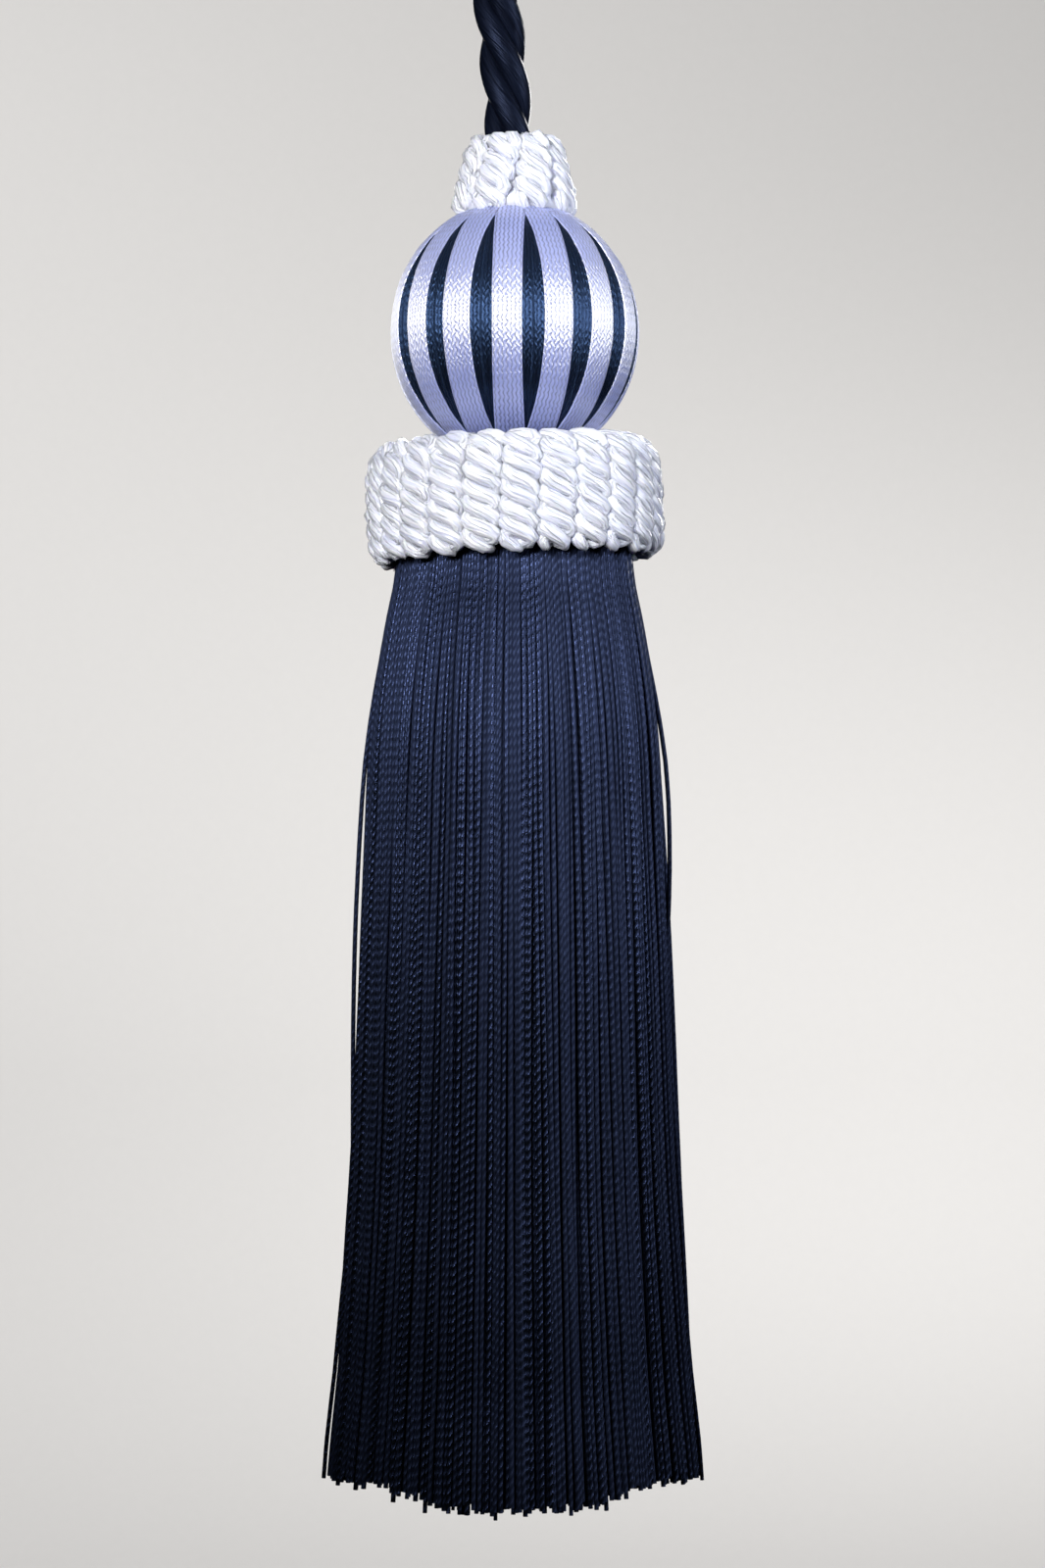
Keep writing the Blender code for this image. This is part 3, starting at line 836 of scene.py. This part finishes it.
@dataclass
class LoopBinding:
    """Thread wound round the loop's two legs, over a thin sleeve."""

    centre_x: float = 0.35 * MM
    half_span: float = 4.35 * MM
    thread_radius: float = 0.56 * MM
    reach: float = 5.12 * MM
    sleeve_reach: float = 4.75 * MM
    sleeve_inner: float = 4.35 * MM
    arc_steps: int = 12
    margin: float = 0.5 * MM
    ends: Tuple[float, float] = field(default_factory=lambda: (
        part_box("loop_binding")[0][2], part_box("loop_binding")[1][2]))

    def oval(self, reach: float, height: float) -> List[Vector]:
        """An oval at one distance from the two legs' centre lines."""
        ring = []
        for side in (1, -1):
            for step in range(self.arc_steps):
                angle = math.pi * step / (self.arc_steps - 1) - math.pi / 2
                x = self.centre_x + side * (self.half_span + reach * math.cos(angle))
                ring.append(Vector((x, side * reach * math.sin(angle), height)))
        return ring

    def thread(self) -> bpy.types.Object:
        """Wind the thread."""
        low, high = self.ends[0] + self.thread_radius + self.margin / 2, self.ends[1] - self.thread_radius
        pitch = 2 * self.thread_radius
        turns = int((high - low) / pitch)
        line = []
        for turn in range(turns):
            ring = self.oval(self.reach, 0.0)
            for index, point in enumerate(ring):
                height = low + pitch * (turn + index / len(ring))
                line.append(Vector((point.x, point.y, height)))
        guides = guide_mesh("binding_guides", [line], {"scale": [1.0] * len(line), "tone": [0.3] * len(line)})
        return run_maker("loop_binding_thread", guides, yarn_tree(), {
            "Material": BINDING_THREAD.material(), "Step": 0.9 * MM, "Radius": self.thread_radius, "Sides": 8})

    def sleeve(self) -> bpy.types.Object:
        """Make the sleeve under the thread."""
        low, high = self.ends[0] + self.margin, self.ends[1] - self.margin
        rings = [(self.sleeve_inner, low), (self.sleeve_reach, low), (self.sleeve_reach, high),
                 (self.sleeve_inner, high)]
        points = [point for reach, height in rings for point in self.oval(reach, height)]
        mesh = mesh_of("loop_binding_sleeve", points, loft(len(rings), 2 * self.arc_steps, closed_rows=True))
        mesh.set_sharp_from_angle(angle=math.radians(50.0))
        piece = add_piece("loop_binding_sleeve", mesh)
        piece.data.materials.append(BINDING_THREAD.material())
        return piece

    def build(self) -> List[bpy.types.Object]:
        """Make and dress the binding."""
        return [dress(self.thread(), "binding_thread", "loop_binding"), dress(self.sleeve(), "binding_thread")]


@dataclass
class WoundRuff:
    """A ring wound with plied floss cord, one upright turn beside the next."""

    node: str
    turns: int
    valley_angle: float
    lean_per_metre: float
    path_mm: Tuple[Tuple[float, float, float], ...]
    core_mm: Tuple[Tuple[float, float], ...]
    ply_across: float
    ply_outwards: float
    lay: float
    ply_radius: float = 1.28 * MM
    fibres: int = 11
    fibre_radius: float = 0.08 * MM
    fibre_out: float = 1.26 * MM
    plies: int = 2
    fibre_lay: float = 45.0 * MM
    fibre_stray: float = 0.42 * MM
    fibre_stray_size: float = 1.1 * MM
    tilt: float = 0.0
    centre_z: float = 0.0
    uneven: float = 0.42 * MM
    uneven_size: float = 3.6 * MM
    step: float = 0.55 * MM
    sides: int = 16
    fibre_sides: int = 3
    seed: int = 3
    core_sides: int = 96

    def guide(self) -> bpy.types.Mesh:
        """One turn of cord from the ring's underside, up its face and in over its top."""
        knots = [Vector((radius * MM, height * MM, scale)) for radius, height, scale in self.path_mm]
        line = smooth_line(knots, 6)
        travelled = 0.0
        points, facts = [], {"scale": [], "out_radial": [], "out_up": []}
        for index, point in enumerate(line):
            before, after = line[max(index - 1, 0)], line[min(index + 1, len(line) - 1)]
            along = Vector((after.x - before.x, after.y - before.y)).normalized()
            if index:
                travelled += Vector((point.x - before.x, point.y - before.y)).length
            points.append(polar(point.x, travelled * self.lean_per_metre, point.y))
            facts["scale"].append(point.z)
            facts["out_radial"].append(along.y)
            facts["out_up"].append(-along.x)
        return guide_mesh(self.node + "_guides", [points], facts)

    def core(self) -> bpy.types.Mesh:
        """The wound ring's own body, which shows only between the turns."""
        points = [polar(radius * MM, math.tau * side / self.core_sides, height * MM)
                  for radius, height in self.core_mm for side in range(self.core_sides)]
        return mesh_of(self.node + "_core", points, loft(len(self.core_mm), self.core_sides, closed_rows=True))

    def tilt_mesh(self, mesh: bpy.types.Mesh) -> None:
        """Lean the ring about its centre, as it sits on the ball."""
        cosine, sine = math.cos(self.tilt), math.sin(self.tilt)
        for vertex in mesh.vertices:
            x, z = vertex.co.x, vertex.co.z - self.centre_z
            vertex.co.x = x * cosine + z * sine
            vertex.co.z = self.centre_z - x * sine + z * cosine

    def build(self, floss: bpy.types.Material) -> List[bpy.types.Object]:
        """Wind the ruff and dress it."""
        tree = ruff_tree()
        shared = {
            "Material": floss, "Step": self.step, "Start Angle": 0.0, "Tone Turns": 1.0, "Plies": self.plies,
            "Plies Across": self.ply_across, "Plies Outwards": self.ply_outwards,
            "Plies Turns": -1.0 / self.lay, "Lumps per Metre": 450.0, "Turns": self.turns,
            "First Angle": self.valley_angle + math.pi / self.turns, "Seed": self.seed,
            "Uneven": self.uneven, "Uneven Size": self.uneven_size}
        wound = run_maker(self.node + "_winding", self.guide(), tree, {
            **shared, "Radius": self.ply_radius, "Sides": self.sides, "Lumpiness": 0.13, "Strands": 1,
            "Strands Across": 0.0, "Strands Outwards": 0.0, "Strands Turns": 0.0, "Stray": 0.0,
            "Stray Size": 1.0})
        fibres = run_maker(self.node + "_fibres", self.guide(), tree, {
            **shared, "Radius": self.fibre_radius, "Sides": self.fibre_sides, "Lumpiness": 0.30,
            "Strands": self.fibres, "Strands Across": self.fibre_out, "Strands Outwards": self.fibre_out,
            "Strands Turns": 1.0 / self.fibre_lay, "Stray": self.fibre_stray,
            "Stray Size": self.fibre_stray_size})
        core = add_piece(self.node + "_ring", self.core())
        core.data.materials.append(floss)
        for piece in (wound, fibres, core):
            self.tilt_mesh(piece.data)
        return [dress(wound, "white_floss", self.node), dress(fibres, "white_floss"), dress(core, "white_floss")]


@dataclass
class Ball:
    """The ball's navy threads and the white ribbons over them."""

    centre_z: float = -122.4 * MM
    radius: float = 20.1 * MM
    half_height: float = 21.2 * MM
    gores: int = 15
    first_angle: float = math.radians(-93.3)
    threads_in_gore: int = 13
    thread_relief: float = 0.11 * MM
    rows: int = 56
    ribbon_width: float = 4.76 * MM
    ribbon_threads: int = 7
    ribbon_proud: float = 0.28 * MM
    ribbon_under: float = 0.25 * MM
    ribbon_edge_drop: float = 0.10 * MM
    ribbon_low_radius: float = 11.2 * MM
    ribbon_high_radius: float = 8.4 * MM
    seed: int = 5

    def place(self, latitude: float, angle: float, lift: float) -> Vector:
        """A point on the ball, lifted off its surface."""
        return polar((self.radius + lift) * math.cos(latitude), angle,
                     self.centre_z + (self.half_height + lift) * math.sin(latitude))

    def cover_gore(self) -> bpy.types.Mesh:
        """One gore of navy threads from pole to pole."""
        columns = self.threads_in_gore * 3 + 1
        half = math.pi / self.gores
        points, marks = [], []
        for row in range(self.rows + 1):
            latitude = (row / self.rows - 0.5) * math.pi * 0.985
            for column in range(columns):
                share = column / (columns - 1)
                lift = 0.0 if column % 3 else -self.thread_relief * math.cos(latitude)
                points.append(self.place(latitude, (2.0 * share - 1.0) * half, lift))
                marks.append((share * self.threads_in_gore * NAVY_SATIN.thread_mm,
                              latitude * self.half_height / MM, 0.0))
        mesh = mesh_of("cover_gore", points, loft(self.rows + 1, columns, closed_columns=False))
        mesh.attributes.new("cover", "FLOAT_VECTOR", "POINT").data.foreach_set(
            "vector", [value for mark in marks for value in mark])
        return mesh

    def ribbon(self) -> bpy.types.Mesh:
        """One ribbon, a thin closed strip with its threads raised."""
        low = -math.acos(self.ribbon_low_radius / self.radius)
        high = math.acos(self.ribbon_high_radius / self.radius)
        columns = self.ribbon_threads * 3 + 1
        points, marks = [], []
        for row in range(self.rows + 1):
            latitude = low + (high - low) * row / self.rows
            reach = self.radius * math.cos(latitude)
            half = min(self.ribbon_width / 2, math.pi * reach / self.gores - 0.04 * MM) / reach
            along = latitude * self.half_height / MM
            for column in range(columns):
                share = 2.0 * column / (columns - 1) - 1.0
                lift = self.ribbon_proud - self.ribbon_edge_drop * share ** 4
                lift -= 0.0 if column % 3 else self.thread_relief
                points.append(self.place(latitude, share * half, lift))
                marks.append((share * half * reach / MM, along, 0.0))
            for side in (1.0, -1.0):
                points.append(self.place(latitude, side * half, -self.ribbon_under))
                marks.append((side * half * reach / MM, along, 0.0))
        width = columns + 2
        faces = loft(self.rows + 1, width)
        faces.append(tuple(range(width))[::-1])
        faces.append(tuple(range(self.rows * width, (self.rows + 1) * width)))
        mesh = mesh_of("ribbon", points, faces)
        mesh.attributes.new("cover", "FLOAT_VECTOR", "POINT").data.foreach_set(
            "vector", [value for mark in marks for value in mark])
        return mesh

    def build(self) -> List[bpy.types.Object]:
        """Cover the ball and lay its ribbons."""
        tree = gore_tree()
        shared = {"Gores": self.gores, "Seed": self.seed, "Uneven Size": 4.0 * MM}
        cover = run_maker("ball_cover", self.cover_gore(), tree, {
            **shared, "Material": NAVY_SATIN.material(), "Uneven": 0.0,
            "First Angle": self.first_angle})
        ribbons = run_maker("ball_ribbons", self.ribbon(), tree, {
            **shared, "Material": WHITE_SATIN.material(), "Uneven": 0.07 * MM,
            "First Angle": self.first_angle})
        names = [f"ribbon_{index + 1:02d}" for index in range(self.gores)]
        return [dress(cover, "navy_satin", "ball"), dress(ribbons, "white_ribbon", *names)]


@dataclass(frozen=True)
class Stray:
    """A skirt yarn that hangs apart from the rest."""

    angle: float
    bulge_mm: float
    top_mm: float
    bottom_mm: float


@dataclass
class Skirt:
    """The cut fringe: an outer layer of two-ply yarns in full, and plainer yarns inside it."""

    yarn_radius: float = 0.385 * MM
    outer_yarns: int = 216
    outer_step: float = 2.2 * MM
    outer_sides: int = 6
    second_yarns: int = 200
    second_share: float = 0.97
    second_step: float = 3.0 * MM
    second_sides: int = 6
    inner_layers: Tuple[Tuple[int, float], ...] = (
        (180, 0.94), (160, 0.90), (130, 0.84), (100, 0.76), (70, 0.66), (44, 0.54), (24, 0.40))
    inner_step: float = 9.0 * MM
    inner_sides: int = 4
    profile_mm: Tuple[Tuple[float, float], ...] = (
        (-157.6, 19.1), (-161.6, 19.3), (-168.8, 20.8), (-176.0, 22.0), (-183.2, 23.0), (-190.4, 23.6),
        (-204.8, 24.2), (-219.2, 24.8), (-233.6, 25.3), (-248.0, 25.8), (-262.4, 26.5), (-276.8, 27.5),
        (-291.2, 28.5), (-305.6, 30.0), (-308.2, 30.2))
    hem_rise: float = 2.4 * MM
    hem_rise_angle: float = math.radians(50.0)
    hem_rise_width: float = math.radians(22.0)
    hem_uneven: float = 0.8 * MM
    sway: float = 0.45 * MM
    clump: float = 0.55 * MM
    strays: Tuple[Stray, ...] = (
        Stray(math.radians(180.0), 1.3, -172.0, -262.0), Stray(math.radians(184.0), 0.8, -196.0, -306.0),
        Stray(math.radians(176.5), 1.0, -230.0, -306.0), Stray(math.radians(-1.0), 1.2, -176.0, -222.0),
        Stray(math.radians(2.5), 0.9, -190.0, -300.0), Stray(math.radians(-4.0), 1.0, -228.0, -304.0),
        Stray(math.radians(90.0), 1.1, -180.0, -260.0), Stray(math.radians(97.0), 0.9, -210.0, -300.0),
        Stray(math.radians(182.0), 1.2, -262.0, -352.0), Stray(math.radians(-2.0), 0.7, -270.0, -350.0))
    levels: int = 26
    seed: int = 21

    def radius_at(self, height: float) -> float:
        """The skirt's outer radius at a height."""
        rows = self.profile_mm
        level = height / MM
        for (top, wide), (bottom, wider) in zip(rows, rows[1:]):
            if level >= bottom:
                share = min(max((top - level) / (top - bottom), 0.0), 1.0)
                return (wide + (wider - wide) * share) * MM
        return rows[-1][1] * MM

    def line(self, angle: float, share: float, chance: random.Random, bulge: Callable[[float], float]) -> List[Vector]:
        """One yarn's centre line.

        Args:
            angle: Where it hangs.
            share: Its distance from the axis as a share of the skirt's radius.
            chance: The source of its unevenness.
            bulge: How far it stands out of its layer at each height.

        Returns:
            Its points, from root to cut end.
        """
        top, bottom = self.profile_mm[0][0] * MM, self.profile_mm[-1][0] * MM
        from_front = math.acos(abs(math.sin(angle)))
        bottom += self.hem_rise * math.exp(-((from_front - self.hem_rise_angle) / self.hem_rise_width) ** 2)
        bottom += chance.uniform(-1.0, 1.0) * self.hem_uneven
        if chance.random() < 0.05:
            bottom -= 1.2 * MM
        waves = [(chance.uniform(18.0, 60.0), chance.uniform(0.0, math.tau), chance.uniform(-1.0, 1.0))
                 for _ in range(3)]
        deep = chance.uniform(-0.35, 0.35) * MM
        points = []
        for level in range(self.levels + 1):
            fall = level / self.levels
            height = top + (bottom - top) * fall
            free = min(fall * 4.0, 1.0)
            reach = self.radius_at(height) * share - self.yarn_radius + (deep + bulge(height)) * free
            aside = sum(size * math.sin(height / MM / length + phase) for length, phase, size in waves)
            gather = (math.sin(angle * 23.0 + 2.0 * math.sin(angle * 5.0) + share * 90.0)
                      + math.sin(angle * 41.0 + 1.0 + share * 140.0))
            shift = aside * self.sway / 2 + gather * self.clump * fall * 0.6
            points.append(polar(reach, angle + shift * free / max(reach, 4.0 * MM), height))
        return points

    def guides(self, name: str, lines: Sequence[Sequence[Vector]], chance: random.Random) -> bpy.types.Mesh:
        """Guide lines with a size and a tone for each yarn."""
        scales, tones = [], []
        for line in lines:
            scales.extend([chance.uniform(0.94, 1.06)] * len(line))
            tones.extend([chance.random()] * len(line))
        return guide_mesh(name, lines, {"scale": scales, "tone": tones})

    def outer_lines(self) -> List[List[Vector]]:
        """The outer layer's yarns, in two depths where they crowd under the band, and its strays."""
        chance = random.Random(self.seed)
        lines = []
        for index in range(self.outer_yarns):
            angle = math.tau * (index + chance.uniform(-0.25, 0.25)) / self.outer_yarns
            tuck = -0.62 * MM if index % 2 else 0.0
            lines.append(self.line(
                angle, 1.0, chance, lambda height, tuck=tuck: tuck * max(0.0, 1.0 + (height + 0.16) / 0.07)))
        for stray in self.strays:
            middle = (stray.top_mm + stray.bottom_mm) / 2
            span = (stray.top_mm - stray.bottom_mm) / 2

            def bulge(height: float, stray: Stray = stray, middle: float = middle, span: float = span) -> float:
                """How far the stray stands out."""
                away = min(abs(height / MM - middle) / span, 1.0)
                return stray.bulge_mm * MM * (1.0 - away ** 2)

            lines.append(self.line(stray.angle, 1.0, chance, bulge))
        return lines

    def layer(self, count: int, share: float) -> List[List[Vector]]:
        """The yarns of one inner layer.

        Args:
            count: How many there are.
            share: The layer's radius as a share of the skirt's.

        Returns:
            Their centre lines.
        """
        chance = random.Random(self.seed + count)
        return [self.line(math.tau * (index + chance.uniform(-0.3, 0.3)) / count, share, chance, lambda height: 0.0)
                for index in range(count)]

    def inner_lines(self) -> List[List[Vector]]:
        """The yarns inside the first two layers."""
        return [line for count, share in self.inner_layers for line in self.layer(count, share)]

    def backing(self) -> bpy.types.Object:
        """The disc that the yarns hang from, hidden in the band."""
        sides = 64
        rows = ((19.0, -157.8), (19.0, -150.6), (17.3, -149.2), (7.4, -144.6))
        points = [polar(radius * MM, math.tau * side / sides, height * MM)
                  for radius, height in rows for side in range(sides)]
        faces = loft(len(rows), sides)
        faces.append(tuple(range(sides))[::-1])
        faces.append(tuple(range(len(points) - sides, len(points))))
        mesh = mesh_of("skirt_backing", points, faces)
        mesh.set_sharp_from_angle(angle=math.radians(40.0))
        return add_piece("skirt_backing", mesh)

    def build(self) -> List[bpy.types.Object]:
        """Hang the yarns."""
        tree = yarn_tree()
        yarn = NAVY_YARN.material()
        chance = random.Random(self.seed + 2)
        layers = (
            ("skirt_outer", self.outer_lines(), self.outer_step, self.outer_sides),
            ("skirt_second", self.layer(self.second_yarns, self.second_share), self.second_step, self.second_sides),
            ("skirt_inner", self.inner_lines(), self.inner_step, self.inner_sides))
        made = [run_maker(name, self.guides(name + "_guides", lines, chance), tree, {
            "Material": yarn, "Radius": self.yarn_radius, "Sides": sides, "Step": step})
            for name, lines, step, sides in layers]
        backing = self.backing()
        backing.data.materials.append(yarn)
        return [dress(made[0], "navy_yarn", "skirt"), *[dress(one, "navy_yarn") for one in made[1:] + [backing]]]


@dataclass(frozen=True)
class Lamp:
    """A soft rectangular light: where it stands, what it is aimed at, its size, power, colour and spread."""

    name: str
    place: Tuple[float, float, float]
    target: Tuple[float, float, float]
    size: Tuple[float, float]
    power: float
    colour: Colour = (1.0, 1.0, 1.0)
    spread: float = math.pi


@dataclass
class Studio:
    """A plain pale room, soft lights and the camera."""

    camera_distance: float = 0.517
    camera_x: float = 1.3 * MM
    focal_mm: float = 72.7
    sensor_mm: float = 36.0
    room_radius: float = 1.7
    corner_radius: float = 0.35
    floor_z: float = -0.75
    wall_top: float = 1.6
    sides: int = 96
    corner_steps: int = 10
    lamps: Tuple[Lamp, ...] = (
        Lamp("key", (-0.36, -0.82, 0.07), (0.0, 0.0, -0.115), (1.60, 0.26), 2.15, spread=math.radians(30.0)),
        Lamp("top", (-0.10, -0.30, 0.80), (0.0, 0.0, -0.12), (0.70, 0.70), 1.5, (0.96, 0.98, 1.0)),
        Lamp("fill", (0.95, -0.45, 0.05), (0.0, 0.0, -0.12), (0.50, 0.50), 1.25, (0.88, 0.92, 1.0),
             math.radians(60.0)),
        Lamp("back", (0.15, 0.95, 0.10), (0.0, 0.0, -0.18), (0.90, 0.40), 1.6, spread=math.radians(50.0)),
        Lamp("wall_behind", (0.20, -0.90, 0.10), (0.20, -1.70, -0.05), (1.20, 1.20), 14.0),
        Lamp("wall", (-0.30, 0.45, 0.10), (-0.20, 1.70, -0.05), (1.20, 1.20), 21.0),
        Lamp("floor", (0.0, 0.0, -0.36), (0.0, 0.0, -0.75), (1.40, 1.40), 4.5, spread=math.radians(120.0)))

    def room(self) -> None:
        """A round floor whose edge curves up into a wall."""
        inner = self.room_radius - self.corner_radius
        rows = [(0.02, self.floor_z), (inner, self.floor_z)]
        for step in range(1, self.corner_steps + 1):
            angle = math.pi / 2 * step / self.corner_steps
            rows.append((inner + self.corner_radius * math.sin(angle),
                         self.floor_z + self.corner_radius * (1.0 - math.cos(angle))))
        rows.append((self.room_radius, self.wall_top))
        points = [polar(radius, math.tau * side / self.sides, height)
                  for radius, height in rows for side in range(self.sides)]
        faces = [face[::-1] for face in loft(len(rows), self.sides)]
        faces.append(tuple(range(self.sides)))
        room = add_piece("pale_room", mesh_of("pale_room", points, faces))
        room.data.materials.append(WALL_PAINT.material())
        room.visible_diffuse = room.visible_glossy = room.visible_shadow = False

    def light(self, lamp: Lamp) -> None:
        """Place one lamp and aim it."""
        data = bpy.data.lights.new(lamp.name, "AREA")
        data.shape, data.energy, data.color = "RECTANGLE", lamp.power, lamp.colour
        data.size, data.size_y = lamp.size
        data.spread = lamp.spread
        holder = bpy.data.objects.new(lamp.name, data)
        holder.location = lamp.place
        holder.rotation_euler = (Vector(lamp.target) - Vector(lamp.place)).to_track_quat("-Z", "Y").to_euler()
        holder.visible_camera = False
        bpy.context.scene.collection.objects.link(holder)

    def camera(self) -> None:
        """A level camera at the height of the picture's middle."""
        lens = bpy.data.cameras.new("camera")
        lens.sensor_width = self.sensor_mm
        lens.lens = self.focal_mm
        lens.clip_start, lens.clip_end = 0.02, 20.0
        holder = bpy.data.objects.new("camera", lens)
        holder.location = (self.camera_x, -self.camera_distance, EYE_HEIGHT)
        holder.rotation_euler = (math.pi / 2, 0.0, 0.0)
        bpy.context.scene.collection.objects.link(holder)
        bpy.context.scene.camera = holder

    def build(self) -> None:
        """Set up the room, the lights and the camera."""
        self.camera()
        self.room()
        for lamp in self.lamps:
            self.light(lamp)
        bpy.context.scene.view_settings.view_transform = "Standard"


NECK_RUFF = dict(
    node="neck_ruff", turns=8, valley_angle=math.radians(-97.0), lean_per_metre=math.radians(1400.0),
    path_mm=((7.7, -103.0, 0.6), (8.6, -102.4, 0.9), (8.5, -100.5, 1.0), (7.9, -98.0, 1.0),
             (7.2, -95.5, 1.0), (6.5, -93.0, 0.95), (5.8, -91.7, 0.85), (5.3, -92.4, 0.6), (5.2, -94.5, 0.4)),
    core_mm=((5.2, -101.8), (8.9, -103.2), (8.3, -101.0), (7.1, -96.0), (6.0, -93.4), (5.2, -94.6)),
    ply_across=2.05 * MM, ply_outwards=0.6 * MM, lay=5.2 * MM, seed=8, core_sides=64, uneven=0.60 * MM)
BAND_RUFF = dict(
    node="band_ruff", turns=24, valley_angle=math.radians(-97.2), lean_per_metre=math.radians(220.0),
    path_mm=((20.9, -158.4, 0.45), (21.7, -158.6, 0.75), (22.3, -157.3, 0.97), (22.5, -155.0, 1.0),
             (22.6, -151.0, 1.0), (22.5, -147.0, 1.0), (22.2, -144.3, 1.0), (21.2, -142.3, 1.0),
             (19.4, -141.7, 0.92), (16.8, -142.0, 0.68), (14.4, -142.4, 0.48), (13.2, -143.0, 0.35)),
    core_mm=((20.4, -158.0), (22.0, -157.6), (21.8, -150.0), (21.6, -145.5), (19.8, -143.0), (13.6, -143.2),
             (14.0, -144.4), (20.4, -147.6)),
    ply_across=2.3 * MM, ply_outwards=0.55 * MM, lay=5.2 * MM,
    tilt=math.radians(-2.0), centre_z=-149.8 * MM)


def main() -> None:
    """Build the scene, the cord first."""
    Studio().build()
    cord = HangingCord()
    cord_piece = cord.build()
    cord.declare(cord_piece, LoopBinding().build())
    floss = WHITE_FLOSS.material()
    WoundRuff(**NECK_RUFF).build(floss)
    Ball().build()
    WoundRuff(**BAND_RUFF).build(floss)
    Skirt().build()


if __name__ == "__main__":
    main()
